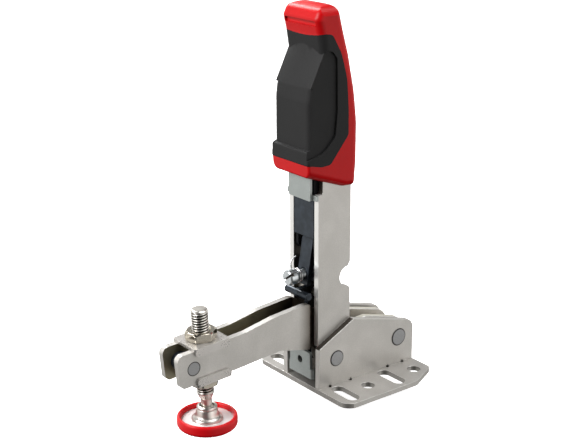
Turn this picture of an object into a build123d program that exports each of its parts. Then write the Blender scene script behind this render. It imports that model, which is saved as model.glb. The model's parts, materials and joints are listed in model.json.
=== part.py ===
"""Vertical toggle clamp with an open arm and a flat base, in millimetres.

Frame: +Z up, the arm points along -Y, +X is the clamp's left-hand side seen from the arm's tip.
The origin is the centre of the base plate's underside.

The steel plates lie in layers, from the outside in: cheeks, handle plates, then the link
plates and the front of the arm, and last the arm's heel, which is set in between the links.
"""
import os
from math import atan2, cos, degrees, hypot, radians, sin

from build123d import *

# ---------------------------------------------------------------- driving dimensions
# base plate
base_width = 70.0
base_depth = 60.0
base_thickness = 2.5
base_front_corner_radius = 6.0
base_rear_cut_x = 8.0
base_rear_cut_y = 16.0
base_rear_corner_radius = 3.0
mount_hole_radius = 3.3
mount_spacing_x = 48.0
mount_slot_length = 17.0
mount_slot_setbacks = (8.0, 37.0)
mount_hole_setbacks = (22.0, 51.75)

# sheet layers
sheet = 3.0
side_gap = 0.1
arm_slot_width = 9.3
heel_gap = 3.1

# pivots: distance behind the base's front edge, and height
arm_pivot_setback, arm_pivot_height = 11.0, 16.0
link_pivot_setback, link_pivot_height = 50.5, 16.4
handle_pivot_setback, handle_pivot_height = 20.75, 24.26
heel_pin_setback, heel_pin_height = 10.0, 27.1
running_gap = 0.05
pin_radius = 3.0
arm_rivet_radius = 3.5
arm_rivet_head_radius = 4.0
link_rivet_radius = 4.3
rivet_head_radius = 4.5
rivet_head_rise = 0.3

# cheeks
cheek_setback = 0.35
cheek_front_height = 23.0
cheek_peak_setback, cheek_peak_height = 21.3, 33.6
cheek_rear_height = 23.4
cheek_corner_radius = 5.5
tab_spans = ((7.0, 19.5), (43.6, 53.2))
tab_relief_radius = 0.9

# stop plate between the cheeks
stop_plate_thickness = 1.5
stop_plate_lead = 0.75
stop_plate_foot_half_width = 9.3
stop_plate_flange = 8.0
stop_plate_pad = 3.6
stop_plate_bend = 1.7
stop_plate_bottom, stop_plate_step, stop_plate_top = 6.2, 10.9, 19.4
stop_plate_half_width = 7.6
stop_plate_hole_radius = 1.8
stop_plate_hole_height = 14.0

# arm
arm_droop = 3.3
arm_height = 16.0
arm_tip_setback = 18.0
arm_end_rivet_setback = 9.85
arm_end_rivet_radius = 3.4
arm_end_spacer_radius = 4.2
arm_pin_boss_radius = 5.6
arm_pivot_boss_radius = 5.2
arm_pin_bridge_radius = 3.4
arm_shoulder, arm_corner = (-21.0, 43.0), (-1.2, 44.8)
arm_rear_edge, heel_top = (9.0, 36.5), (15.2, 29.2)
heel_front_low, heel_front_high = (5.9, 15.4), (4.6, 20.6)
arm_throat, arm_belly = (-3.4, 22.1), (-18.2, 25.6)
arm_parallel_top, arm_parallel_bottom = 18.3, 15.3
heel_relief_place, heel_relief_radius = (19.2, 22.3), 5.3
joggle_setback = 0.4
joggle_length = 2.6

# link
link_end_radius = 8.8
link_nose_radius = 4.8
link_parallel_length = 19.0
link_sleeve_radius = 6.2

# handle
handle_setback = 2.03
handle_depth = 19.2
handle_bottom = 22.4
handle_top = 160.0
tang_setback, tang_depth = 4.5, 13.0
tang_bottom = 113.0
tang_front_bottom = 97.6
notch_radius = 4.9
notch_lip_radius = 2.5

# mechanism in the handle
slide_plate_thickness = 2.0
slide_plate_gap = 0.35
slide_plate_bottom, slide_plate_top = 75.6, 112.0
slide_lug_radius = 3.4
slide_plate_depth = 12.0
lock_bar_width = 7.8
lock_bar_thickness = 2.5
lock_bar_above_pin = 4.1
lock_bar_below_pin = 19.5
lock_bar_pin_radius = 1.6
lock_bar_pin_setback, lock_bar_pin_height = 6.4, 71.0
lock_bar_lean = 9.5
screw_height = 57.0
screw_radius = 2.4
screw_head_radius = 4.3
screw_head_thickness = 4.2
screw_head_setback = -8.0
screw_slot_width = 1.2
screw_slot_depth = 1.8
screw_end_setback = 11.6
block_setback, block_depth = 5.9, 4.6
block_height = 9.0
spring_wire_radius = 0.45
spring_radius = 3.3
spring_turns = 2.25
spring_length = 2.4
spring_leg_reach = (-4.9, 7.6)
spring_leg_setback = 1.3
stop_bar_setback, stop_bar_height = -1.45, 48.3
stop_bar_radius = 1.9
stop_bar_half_length = 8.4
stop_bar_boss_radius = 2.9
carrier_pin_setback, carrier_pin_height = 7.5, 47.4
carrier_pin_radius = 2.3
carrier_wall = 2.4
heel_slot_clearance = 0.9
heel_slot_travel = (2.75, 1.65)

# bridge clip on the front of the handle
clip_thickness = 1.2
clip_half_width = 7.9
clip_standoff = 2.7
clip_bottom, clip_top = 94.6, 108.5
clip_ear_bottom, clip_ear_top = 95.0, 97.4

# grip
grip_half_width = 13.7
panel_thickness = 2.6
grip_front_edge_radius = 1.3
grip_rear_edge_radius = 3.6
grip_split_setback = 6.0

# spindle group, measured along the spindle from the arm's centre line
spindle_setback = 55.85
spindle_centre_height = 30.75
spindle_radius = 4.0
spindle_top = 23.5
spindle_thread_end = -17.4
spindle_taper_end = -20.6
neck_radius = 2.6
ball_radius = 3.7
washer_thickness = 1.3
washer_length = 19.0
washer_lip, washer_lip_step = 2.6, 0.5
washer_corner_radius = 1.5
nut_flats = 13.0
nut_height = 4.2
lower_nut_flats = 12.0
lower_nut_height = 4.1

# swivel foot, heights in the part's own frame
foot_bottom = -3.8
foot_cup_radius = 14.0
foot_cup_wall = 2.0
foot_cup_floor = 2.4
foot_cup_height = 5.5
foot_disc_thickness = 0.9
foot_skirt_radius, foot_skirt_height = 7.2, 0.9
foot_collar_radius, foot_collar_foot = 5.4, 2.4
foot_rim_radius, foot_rim_height = 4.6, 1.5
foot_rim_rounding = 1.0
foot_rim_top = 6.6
foot_ball_height = 3.6
foot_socket_gap = 0.08
foot_mouth_radius = 3.35

# ---------------------------------------------------------------- derived places
front = -base_depth / 2


def behind(setback, height):
    """Side-view point (Y, Z) at a distance behind the base's front edge."""
    return (front + setback, height)


arm_pivot = behind(arm_pivot_setback, arm_pivot_height)
link_pivot = behind(link_pivot_setback, link_pivot_height)
handle_pivot = behind(handle_pivot_setback, handle_pivot_height)
heel_pin_centre = behind(heel_pin_setback, heel_pin_height)

arm_inner = arm_slot_width / 2
arm_outer = arm_inner + sheet
handle_inner = arm_outer + side_gap
handle_outer = handle_inner + sheet
cheek_inner = handle_outer + side_gap
cheek_outer = cheek_inner + sheet
heel_inner = heel_gap / 2
heel_outer = heel_inner + sheet
link_inner = heel_outer + side_gap
link_outer = link_inner + sheet

droop = radians(arm_droop)
spindle_foot_point = (front - spindle_setback, spindle_centre_height)


def on_arm(u, w):
    """Side-view point u mm rearward along the arm and w mm up the spindle's axis."""
    y, z = spindle_foot_point
    return (y + u * cos(droop) - w * sin(droop), z + u * sin(droop) + w * cos(droop))


# ---------------------------------------------------------------- helpers
def outline(*corners):
    """Closed face through (a, b, radius) corners, each corner rounded by its radius."""
    points = [(a, b) for a, b, _ in corners]
    radii = [radius for _, _, radius in corners]
    return make_face(FilletPolyline(*points, radius=radii, close=True))


def disc(centre, radius):
    """Circle face at a centre."""
    return Pos(*centre) * Circle(radius)


def capsule(start, end, radius):
    """Slot-shaped face: everything within radius of the line from start to end."""
    length = hypot(end[0] - start[0], end[1] - start[1])
    angle = degrees(atan2(end[1] - start[1], end[0] - start[0]))
    middle = ((start[0] + end[0]) / 2, (start[1] + end[1]) / 2)
    return Pos(*middle) * (Rot(Z=angle) * SlotCenterToCenter(length, 2 * radius))


def slab(side_view, x_from, x_to):
    """Plate made of a side-view (Y, Z) face between two X planes."""
    return extrude(Plane.YZ.offset(x_from) * side_view, amount=x_to - x_from)


def side_plate(side_view, inner, side):
    """One of a pair of plates: side is +1 or -1, inner is its inner face's distance from X = 0."""
    if side > 0:
        return slab(side_view, inner, inner + sheet)
    return slab(side_view, -inner - sheet, -inner)


def cross_cylinder(centre, radius, half_length):
    """Round bar along X, centred on X = 0."""
    return slab(disc(centre, radius), -half_length, half_length)


def front_wall(front_view, y_from, y_to):
    """Plate made of a front-view (X, Z) face between two Y planes."""
    plane = Plane(origin=(0, y_from, 0), x_dir=(1, 0, 0), z_dir=(0, -1, 0))
    return extrude(plane * front_view, amount=-(y_to - y_from))


def write(name, *solids):
    """Write one node's solids to its own STEP file."""
    shape = solids[0] if len(solids) == 1 else Compound(children=list(solids))
    shape.label = name
    export_step(shape, os.path.join("parts", name + ".step"))
    print(f"{name}: {shape.volume:.1f} mm3")


# ---------------------------------------------------------------- base
def base_outline():
    """Base plate from above: rounded front corners and long cuts at the rear ones."""
    half, rear = base_width / 2, base_depth / 2
    return outline(
        (-half, front, base_front_corner_radius),
        (half, front, base_front_corner_radius),
        (half, rear - base_rear_cut_y, base_rear_corner_radius),
        (half - base_rear_cut_x, rear, base_rear_corner_radius),
        (-half + base_rear_cut_x, rear, base_rear_corner_radius),
        (-half, rear - base_rear_cut_y, base_rear_corner_radius),
    )


def tab_opening(side, span):
    """Slot in the base for one cheek tab, with round reliefs in its outer corners."""
    middle = front + (span[0] + span[1]) / 2
    x = side * (cheek_inner + cheek_outer) / 2
    opening = Pos(x, middle) * Rectangle(sheet, span[1] - span[0])
    for y in span:
        opening += Pos(side * cheek_outer, front + y) * Circle(tab_relief_radius)
    return opening


def base_plate():
    """Flat base with two slots and two round holes in each flange, and the tab slots."""
    face = base_outline()
    for side in (-1, 1):
        x = side * mount_spacing_x / 2
        for setback in mount_slot_setbacks:
            face -= Pos(x, front + setback) * SlotOverall(mount_slot_length, 2 * mount_hole_radius)
        for setback in mount_hole_setbacks:
            face -= Pos(x, front + setback) * Circle(mount_hole_radius)
        for span in tab_spans:
            face -= tab_opening(side, span)
    return extrude(face, amount=base_thickness)


def cheek(side):
    """Upright side plate with two tabs down through the base and two rivet holes."""
    rear = base_depth / 2
    face = outline(
        (front + cheek_setback, base_thickness, 0),
        (front + cheek_setback, cheek_front_height, 1.5),
        (*behind(cheek_peak_setback, cheek_peak_height), 1.0),
        (rear, cheek_rear_height, cheek_corner_radius),
        (rear, base_thickness, 0),
    )
    for span in tab_spans:
        centre = (front + (span[0] + span[1]) / 2, base_thickness / 2)
        face += Pos(*centre) * Rectangle(span[1] - span[0], base_thickness)
        for y in span:
            face -= disc((front + y, base_thickness), tab_relief_radius)
    face -= disc(arm_pivot, arm_rivet_radius)
    face -= disc(link_pivot, link_rivet_radius)
    return side_plate(face, cheek_inner, side)


def stop_plate():
    """Small cross plate in front of the arm pivot, its foot bent back along both cheeks."""
    y_front = front + cheek_setback - stop_plate_lead
    y_back = y_front + stop_plate_thickness
    half = stop_plate_half_width
    web = front_wall(outline(
        (-half, stop_plate_bottom, 0), (half, stop_plate_bottom, 0),
        (half, stop_plate_top, 1.0), (-half, stop_plate_top, 1.0)), y_front, y_back)
    foot_half = stop_plate_foot_half_width
    inner = foot_half - stop_plate_thickness
    y_end = y_front + stop_plate_flange
    strip = outline(
        (-foot_half, y_front, stop_plate_bend), (foot_half, y_front, stop_plate_bend),
        (foot_half, y_end - stop_plate_pad, 0.4), (cheek_inner, y_end - stop_plate_pad, 0.4),
        (cheek_inner, y_end, 0), (inner, y_end, 0), (inner, y_back, 0.3), (-inner, y_back, 0.3),
        (-inner, y_end, 0), (-cheek_inner, y_end, 0), (-cheek_inner, y_end - stop_plate_pad, 0.4),
        (-foot_half, y_end - stop_plate_pad, 0.4))
    foot = extrude(Plane.XY.offset(stop_plate_bottom) * strip, amount=stop_plate_step - stop_plate_bottom)
    hole = front_wall(disc((0, stop_plate_hole_height), stop_plate_hole_radius), y_front, y_back)
    return web + foot - hole


def rivet(centre, shank_radius, head_radius):
    """Cross rivet through both cheeks with a low domed head on each side."""
    shank = cross_cylinder(centre, shank_radius, cheek_outer)
    heads = cross_cylinder(centre, head_radius, cheek_outer + rivet_head_rise)
    heads -= cross_cylinder(centre, head_radius + 1, cheek_outer)
    heads = chamfer(heads.faces().filter_by(Axis.X).sort_by(Axis.X)[-1].edges(), rivet_head_rise / 2)
    heads = chamfer(heads.faces().filter_by(Axis.X).sort_by(Axis.X)[0].edges(), rivet_head_rise / 2)
    return shank + heads


# ---------------------------------------------------------------- arm
def heel_relief():
    """Room for the handle's cross pin, which passes close behind the heel as the arm lifts."""
    return disc(behind(*heel_relief_place), heel_relief_radius)


def arm_side_view():
    """Arm from the side: parallel front half, a step up, and the heel with its two bores."""
    top, bottom = arm_height / 2, -arm_height / 2
    tip = -arm_tip_setback
    face = outline(
        (*on_arm(tip, top), 3.0),
        (*on_arm(arm_parallel_top, top), 25),
        (*behind(*arm_shoulder), 25),
        (*behind(*arm_corner), 5.0),
        (*behind(*arm_rear_edge), 4),
        (*behind(*heel_top), 0),
        (*heel_pin_centre, 0),
        (*arm_pivot, 0),
        (*behind(*heel_front_low), 0),
        (*behind(*heel_front_high), 2),
        (*behind(*arm_throat), 5),
        (*behind(*arm_belly), 12),
        (*on_arm(arm_parallel_bottom, bottom), 20),
        (*on_arm(tip + 2.3, bottom), 1.2),
        (*on_arm(tip + 0.6, bottom + 1.6), 1.0),
    )
    face += disc(heel_pin_centre, arm_pin_boss_radius)
    face += disc(arm_pivot, arm_pivot_boss_radius)
    face += capsule(arm_pivot, heel_pin_centre, arm_pin_bridge_radius)
    face -= heel_relief()
    face -= disc(heel_pin_centre, pin_radius)
    face -= disc(arm_pivot, arm_rivet_radius + running_gap)
    face -= disc(on_arm(-arm_end_rivet_setback, 0), arm_end_rivet_radius)
    return face


def arm_plan_view(side):
    """Arm plate from above: straight, then set inwards by one layer at the heel."""
    start = front - joggle_setback
    end = start + joggle_length
    far_front, far_rear = front - 2 * spindle_setback, -front
    shift = side * (arm_outer - heel_outer)
    kink = 0.9
    outer, inner = side * arm_outer, side * arm_inner
    return make_face(Polyline(
        (outer, far_front), (outer, start), (outer - shift, end), (outer - shift, far_rear),
        (inner - shift, far_rear), (inner - shift, end - kink), (inner, start - kink),
        (inner, far_front), close=True))


def arm_plate(side):
    """One arm plate: its side view cut from the joggled strip."""
    strip = extrude(arm_plan_view(side), amount=base_depth)
    return strip & slab(arm_side_view(), -handle_outer, handle_outer)


def arm_end_spacer():
    """Tube that keeps the arm plates apart at the tip."""
    centre = on_arm(-arm_end_rivet_setback, 0)
    tube = cross_cylinder(centre, arm_end_spacer_radius, arm_inner)
    return tube - cross_cylinder(centre, arm_end_rivet_radius, arm_inner)


def arm_end_rivet():
    """Flush rivet through the arm's tip."""
    return cross_cylinder(on_arm(-arm_end_rivet_setback, 0), arm_end_rivet_radius, arm_outer)


def heel_pin():
    """Pin through the heel that the handle's carrier drives."""
    return cross_cylinder(heel_pin_centre, pin_radius, heel_outer)


# ---------------------------------------------------------------- link
def link_side_view():
    """Link plate from the side: full width at the base rivet, tapered to its nose."""
    run = (handle_pivot[0] - link_pivot[0], handle_pivot[1] - link_pivot[1])
    length = hypot(*run)
    along = (run[0] / length, run[1] / length)

    def on_link(u, w):
        return (link_pivot[0] + along[0] * u - along[1] * w,
                link_pivot[1] + along[1] * u + along[0] * w)

    face = outline(
        (*on_link(0, link_end_radius), 0),
        (*on_link(link_parallel_length, link_end_radius), 8),
        (*on_link(length, link_nose_radius), 0),
        (*on_link(length, -link_nose_radius), 0),
        (*on_link(link_parallel_length, -link_end_radius), 8),
        (*on_link(0, -link_end_radius), 0),
    )
    face += disc(link_pivot, link_end_radius) + disc(handle_pivot, link_nose_radius)
    face -= disc(link_pivot, link_rivet_radius + running_gap)
    face -= disc(handle_pivot, pin_radius + running_gap)
    return face


def link_sleeve():
    """Tube on the base rivet that keeps the link plates apart."""
    tube = cross_cylinder(link_pivot, link_sleeve_radius, link_inner)
    return tube - cross_cylinder(link_pivot, link_rivet_radius + running_gap, link_inner)


# ---------------------------------------------------------------- handle
def notch_centre():
    """Where the base's link rivet comes to lie in the rear edge when the handle is down."""
    reach = hypot(link_pivot[0] - handle_pivot[0], link_pivot[1] - handle_pivot[1])
    return (handle_pivot[0] - 0.9, handle_pivot[1] + reach)


def handle_side_view():
    """Handle plate from the side: straight channel wall, rear notch and a tang in the grip."""
    rear = handle_setback + handle_depth
    y_notch, z_notch = notch_centre()
    face = outline(
        (*behind(handle_setback, handle_bottom), 1.5),
        (*behind(handle_setback, tang_front_bottom), 0),
        (*behind(tang_setback, tang_front_bottom), 1),
        (*behind(tang_setback, handle_top), 3),
        (*behind(tang_setback + tang_depth, handle_top), 3),
        (*behind(tang_setback + tang_depth, tang_bottom), 1),
        (*behind(rear, tang_bottom), 0),
        (*behind(rear, handle_pivot_height + 6), 2),
        (handle_pivot[0] + link_nose_radius - 0.4, handle_pivot[1] + 3.2, 0),
        (handle_pivot[0], handle_pivot[1], 0),
        (*behind(handle_pivot_setback - 3, handle_bottom), 0),
    )
    face += disc(handle_pivot, link_nose_radius)
    mouth = outline(
        (y_notch, z_notch + notch_radius, 0),
        (y_notch, z_notch - notch_radius + 1.6, 0),
        (front + rear + 3.5, z_notch - notch_radius + 1.6, 0),
        (front + rear + 3.5, z_notch + notch_radius + 8.5, 0),
    )
    cut = disc((y_notch, z_notch), notch_radius) + mouth
    face -= cut
    face -= disc(handle_pivot, pin_radius)
    lip = face.vertices().sort_by_distance((front + rear, z_notch - notch_radius))[0]
    return fillet(lip, notch_lip_radius)


def handle_plate(side):
    """One wall of the handle's channel, with a blind bore for the carrier's pin."""
    return side_plate(handle_side_view(), handle_inner, side) - carrier_pin()


def handle_pin():
    """Pin that joins handle and link, flush with the handle plates."""
    return cross_cylinder(handle_pivot, pin_radius, handle_outer)


def carrier():
    """Middle plate of the handle that drives the arm's heel pin through its long hole."""
    slot_start = heel_pin_centre
    slot_end = (slot_start[0] + heel_slot_travel[0], slot_start[1] + heel_slot_travel[1])
    slot_radius = pin_radius + heel_slot_clearance
    upper = behind(carrier_pin_setback, carrier_pin_height)
    face = capsule(slot_start, slot_end, slot_radius + carrier_wall)
    face += capsule(slot_end, handle_pivot, pin_radius + carrier_wall)
    face += capsule(slot_start, upper, carrier_pin_radius + carrier_wall)
    bar = behind(stop_bar_setback, stop_bar_height)
    face += capsule(bar, upper, stop_bar_boss_radius)
    face -= capsule(slot_start, slot_end, slot_radius)
    rivet_path_end = behind(14.5, 18.2)
    face -= capsule(arm_pivot, rivet_path_end, arm_rivet_radius + 0.4)
    face -= disc(handle_pivot, pin_radius)
    face -= disc(upper, carrier_pin_radius)
    face -= disc(bar, stop_bar_radius)
    half = heel_inner - 0.15
    return slab(face, -half, half)


def carrier_pin():
    """Pin that holds the carrier, its ends hidden in the handle plates."""
    return cross_cylinder(behind(carrier_pin_setback, carrier_pin_height),
                          carrier_pin_radius, handle_inner + sheet / 2)


def slide_plate():
    """Dark U-shaped plate that closes the front of the channel; its two lugs carry the lock bar's pin."""
    y_front = front + handle_setback
    y_rear = y_front + slide_plate_depth
    half = handle_inner - slide_plate_gap
    web = front_wall(outline(
        (-half, slide_plate_bottom, 0.4), (half, slide_plate_bottom, 0.4),
        (half, slide_plate_top, 0.4), (-half, slide_plate_top, 0.4)),
        y_front, y_front + slide_plate_thickness)
    pin = behind(lock_bar_pin_setback, lock_bar_pin_height)
    wall = outline(
        (y_front, slide_plate_bottom, 0), (y_front, slide_plate_top, 0),
        (y_rear, slide_plate_top, 0), (y_rear, slide_plate_bottom, 3))
    lug = wall + capsule(pin, (pin[0], slide_plate_bottom + slide_lug_radius), slide_lug_radius)
    lug -= disc(pin, lock_bar_pin_radius)
    walls = slab(lug, half - slide_plate_thickness, half)
    walls += slab(lug, -half, -half + slide_plate_thickness)
    return web + walls


def lock_bar_pin():
    """Short pin in the slide plate's lugs on which the lock bar tilts."""
    return cross_cylinder(behind(lock_bar_pin_setback, lock_bar_pin_height),
                          lock_bar_pin_radius, handle_inner)


def lock_bar():
    """Leaning bar with a rounded top, a pivot eye and a hole for the force screw."""
    pivot = behind(lock_bar_pin_setback, lock_bar_pin_height)
    lean = radians(lock_bar_lean)
    up = (sin(lean), cos(lean))
    top, bottom = lock_bar_above_pin, -lock_bar_below_pin
    face_offset = -lock_bar_pin_radius - 1.0

    def on_bar(along, across):
        return (pivot[0] + along * up[0] + across * up[1], pivot[1] + along * up[1] - across * up[0])

    side = outline(
        (*on_bar(bottom, face_offset), 0.4), (*on_bar(top, face_offset), 1.2),
        (*on_bar(top, face_offset + lock_bar_thickness), 1.2),
        (*on_bar(bottom, face_offset + lock_bar_thickness), 0.4))
    side += disc(pivot, lock_bar_pin_radius + 1.0)
    side -= disc(pivot, lock_bar_pin_radius + running_gap)
    bar = slab(side, -lock_bar_width / 2, lock_bar_width / 2)
    rounded = front_wall(outline(
        (-lock_bar_width / 2, pivot[1] + 2 * bottom, 0), (lock_bar_width / 2, pivot[1] + 2 * bottom, 0),
        (lock_bar_width / 2, pivot[1] + top, 1.8), (-lock_bar_width / 2, pivot[1] + top, 1.8)),
        pivot[0] - lock_bar_below_pin, pivot[0] + lock_bar_below_pin)
    bar &= rounded
    hole = front_wall(disc((0, screw_height), screw_radius + 0.6),
                      pivot[0] - lock_bar_below_pin, pivot[0] + lock_bar_below_pin)
    return bar - hole


def screw_axis_disc(radius, y_from, y_to):
    """Round bar along Y on the force screw's axis."""
    return front_wall(disc((0, screw_height), radius), front + y_from, front + y_to)


def force_screw():
    """Slotted cheese-head screw that sets the clamping force."""
    head_end = screw_head_setback + screw_head_thickness
    head = screw_axis_disc(screw_head_radius, screw_head_setback, head_end)
    head = chamfer(head.faces().sort_by(Axis.Y)[0].edges(), 0.6)
    shank = screw_axis_disc(screw_radius, head_end, screw_end_setback)
    shank = chamfer(shank.faces().sort_by(Axis.Y)[-1].edges(), 0.5)
    slot = Box(4 * screw_head_radius, 2 * screw_slot_depth, screw_slot_width)
    slot = Pos(0, front + screw_head_setback, screw_height) * Rot(Y=-36) * slot
    return head + shank - slot


def force_block():
    """Block fixed between the handle plates, threaded for the force screw."""
    half = block_height / 2
    body = slab(outline(
        (front + block_setback, screw_height - half, 0.8),
        (front + block_setback + block_depth, screw_height - half, 0.8),
        (front + block_setback + block_depth, screw_height + half, 0.8),
        (front + block_setback, screw_height + half, 0.8)), -handle_inner, handle_inner)
    bore = screw_axis_disc(screw_radius + running_gap, block_setback - 1,
                           block_setback + block_depth + 1)
    return body - bore


def lock_spring():
    """Small coil round the screw behind its head, with a leg that leans on the lock bar's edge."""
    start = front + screw_head_setback + screw_head_thickness + spring_wire_radius + 0.05
    coil = Helix(pitch=spring_length / spring_turns, height=spring_length, radius=spring_radius)
    coil = Pos(0, start, screw_height) * Rot(X=-90) * Rot(Z=90) * coil
    end, heading = coil @ 1, coil % 1
    x, z = spring_leg_reach
    tip = Vector(x, front + spring_leg_setback, screw_height + z)
    leg = Spline(end, end + (tip - end) * 0.5 + Vector(-0.9, 0, 0.2), tip,
                 tangents=(heading, Vector(0.35, 0.25, 1)))
    path = Wire([coil.edge() if hasattr(coil, "edge") else coil, leg])
    section = Plane(origin=path @ 0, z_dir=path % 0) * Circle(spring_wire_radius)
    return sweep(section, path=path)


def stop_bar():
    """Dark cross bar in front of the handle plates, pressed into the carrier's nose."""
    bar = cross_cylinder(behind(stop_bar_setback, stop_bar_height), stop_bar_radius, stop_bar_half_length)
    return chamfer(bar.edges().filter_by(GeomType.CIRCLE), 0.3)


def bridge_clip():
    """Bent zinc clip across the channel's front under the grip, with an ear on each side."""
    y_web = front + handle_setback - clip_standoff
    y_plate = front + handle_setback
    web = front_wall(outline(
        (-clip_half_width, clip_bottom, 0.6), (clip_half_width, clip_bottom, 0.6),
        (clip_half_width, clip_top, 0.6), (-clip_half_width, clip_top, 0.6)),
        y_web, y_web + clip_thickness)
    ear_height = clip_ear_top - clip_ear_bottom
    clip = web
    for side in (-1, 1):
        x_wall = side * (clip_half_width - clip_thickness / 2)
        wall = Box(clip_thickness, clip_standoff, ear_height)
        clip += Pos(x_wall, (y_web + y_plate) / 2, clip_ear_bottom + ear_height / 2) * wall
        ear_width = handle_outer - clip_half_width + clip_thickness
        ear = Box(ear_width, clip_thickness, ear_height)
        x_ear = side * (handle_outer - ear_width / 2)
        clip += Pos(x_ear, y_plate - clip_thickness / 2, clip_ear_bottom + ear_height / 2) * ear
    return clip


# ---------------------------------------------------------------- grip
grip_front_line = (
    (-5.6, 107.3, 0), (-6.0, 113.0, 0), (-6.4, 113.4, 0.3), (-6.4, 119.4, 0.7), (-5.0, 120.0, 0),
    (-5.0, 141.5, 14), (-4.1, 147.8, 6), (2.6, 161.2, 2), (0.9, 171.2, 3), (-0.7, 177.4, 2.5),
    (1.4, 181.6, 5),
)
grip_rear_line = (
    (8.4, 184.6, 5.5), (12.6, 180.6, 5), (14.8, 172.0, 30), (18.1, 160.6, 30), (21.6, 144.0, 40),
    (23.3, 130.0, 40), (23.2, 112.0, 20), (22.3, 99.4, 1.5), (15.6, 99.8, 4),
)
panel_line = (
    (-10.0, 113.2, 0), (-4.2, 113.0, 1), (1.5, 111.7, 4), (6.6, 112.0, 3), (17.0, 124.4, 3),
    (16.9, 136.0, 30), (15.9, 150.0, 30), (12.6, 161.8, 20), (7.4, 170.6, 3), (2.0, 171.6, 1),
    (-10.0, 171.6, 0),
)
recess_line = (
    (-12.0, 114.2, 0), (1.2, 117.6, 2), (4.4, 119.6, 3), (9.4, 124.6, 4), (10.5, 136.0, 20),
    (10.2, 160.0, 4), (6.2, 164.6, 3), (2.6, 161.9, 1), (-12.0, 157.0, 0),
)
panel_core_line = (
    (-2.4, 105.0, 0), (40.0, 105.0, 0), (40.0, 190.0, 0), (6.0, 190.0, 0), (6.0, 163.0, 2),
    (-1.2, 150.0, 6), (-2.4, 142.0, 4),
)
nose_foot, nose_top = (-4.1, 147.8), (6.8, 169.6)
nose_bow_setback, nose_depth = 3.1, 16.0
recess_depth = 1.1
cap_boundary_height, cap_boundary_drop = 171.4, 1.5
cap_overlap_depth = 4.5
dome_margin = 0.8
dome_shoulder_height, dome_crown_height = 181.6, 185.2
dome_shoulder_radius, dome_crown_radius = 8.0, 28.0
groove_height = 175.6
groove_width, groove_opening = 22.0, 2.4
groove_floor_setback = 0.9


def from_front(points):
    """Turn (setback, height, radius) corners into side-view corners."""
    return [(front + setback, height, radius) for setback, height, radius in points]


def grip_side_view():
    """Grip's outline from the side."""
    return outline(*from_front(grip_front_line + grip_rear_line))


def dome():
    """Front-view limit of the grip's top: full shoulders under a slightly crowned middle."""
    half, foot = grip_half_width + dome_margin, handle_bottom
    return front_wall(outline(
        (-half, foot, 0), (half, foot, 0), (half, dome_shoulder_height, dome_shoulder_radius),
        (0, dome_crown_height, dome_crown_radius), (-half, dome_shoulder_height, dome_shoulder_radius)),
        front - grip_half_width, -front)


def nose():
    """Swell of the panel's slope: flat at its foot, bowed forward towards its top."""
    half = grip_half_width - recess_depth
    y_foot, z_foot = behind(*nose_foot)
    y_edge, z_top = behind(*nose_top)
    y_bow = front + nose_bow_setback
    y_back = y_foot + nose_depth
    foot = make_face(Polyline((-half, y_foot), (half, y_foot), (half, y_back), (-half, y_back), close=True))
    bow = ThreePointArc((-half, y_edge), (0, y_bow), (half, y_edge))
    rest = Polyline((half, y_edge), (half, y_back), (-half, y_back), (-half, y_edge))
    top = make_face(Wire([bow.edge(), *rest.edges()]))
    return loft([Plane.XY.offset(z_foot) * foot, Plane.XY.offset(z_top) * top], ruled=True)


def grip_body():
    """Outer form of the whole grip: crisp edges in front, full ones behind, domed on top."""
    body = slab(grip_side_view(), -grip_half_width, grip_half_width)
    split = front + grip_split_setback
    rear = [edge for face in body.faces().filter_by(Axis.X) for edge in face.edges()
            if edge.center().Y > split]
    body = fillet(rear, grip_rear_edge_radius)
    rims = [edge for face in body.faces().filter_by(Axis.X) for edge in face.edges()
            if edge.center().Y <= split and abs(edge.tangent_at(0.5).Z) > 0.5]
    body = fillet(rims, grip_front_edge_radius)
    for side in (-1, 1):
        recess = slab(outline(*from_front(recess_line)), 0, recess_depth + 1)
        x = grip_half_width - recess_depth if side > 0 else -grip_half_width - 1
        body -= Pos(x, 0, 0) * recess
    return (body + nose()) & dome()


def panel_zone(body):
    """Region of the soft panel: a wrap over the front and both sides, under the cap's curved edge."""
    reach = slab(outline(*from_front(panel_line)), -grip_half_width - 2, grip_half_width + 2)
    core_half = grip_half_width - panel_thickness
    core = slab(outline(*from_front(panel_core_line)), -core_half, core_half)
    return body & (reach - core) - cap_overlap()


def cap_overlap():
    """Part of the shell's cap that hangs over the panel's top edge in a shallow bow."""
    half = grip_half_width + dome_margin
    low, high = cap_boundary_height, dome_crown_height
    bow = ThreePointArc((-half, low), (0, low - cap_boundary_drop), (half, low))
    rest = Polyline((half, low), (half, high), (-half, high), (-half, low))
    face = make_face(Wire([bow.edge(), *rest.edges()]))
    return front_wall(face, front - grip_half_width, front + cap_overlap_depth)


def grip_parts():
    """Red shell with the tang slots, and the dark soft panel set into it."""
    body = grip_body()
    zone = panel_zone(body)
    shell = body - zone
    for side in (-1, 1):
        shell -= side_plate(handle_side_view(), handle_inner, side)
    shell -= slide_plate_pocket()
    groove = Pos(0, groove_height) * SlotOverall(groove_width, groove_opening)
    return shell - front_wall(groove, front - grip_half_width, front + groove_floor_setback), zone


def slide_plate_pocket():
    """Room inside the grip for the slide plate and the clip's top."""
    y_clip = front + handle_setback - clip_standoff
    y_rear = front + handle_setback + slide_plate_depth
    pocket = slab(outline(
        (y_clip, clip_bottom, 0), (y_rear, clip_bottom, 0),
        (y_rear, slide_plate_top, 0), (y_clip, slide_plate_top, 0)), -handle_inner, handle_inner)
    clip_room = Box(2 * clip_half_width, clip_thickness, clip_top - clip_bottom)
    return pocket + Pos(0, y_clip + clip_thickness / 2, (clip_bottom + clip_top) / 2) * clip_room


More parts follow.
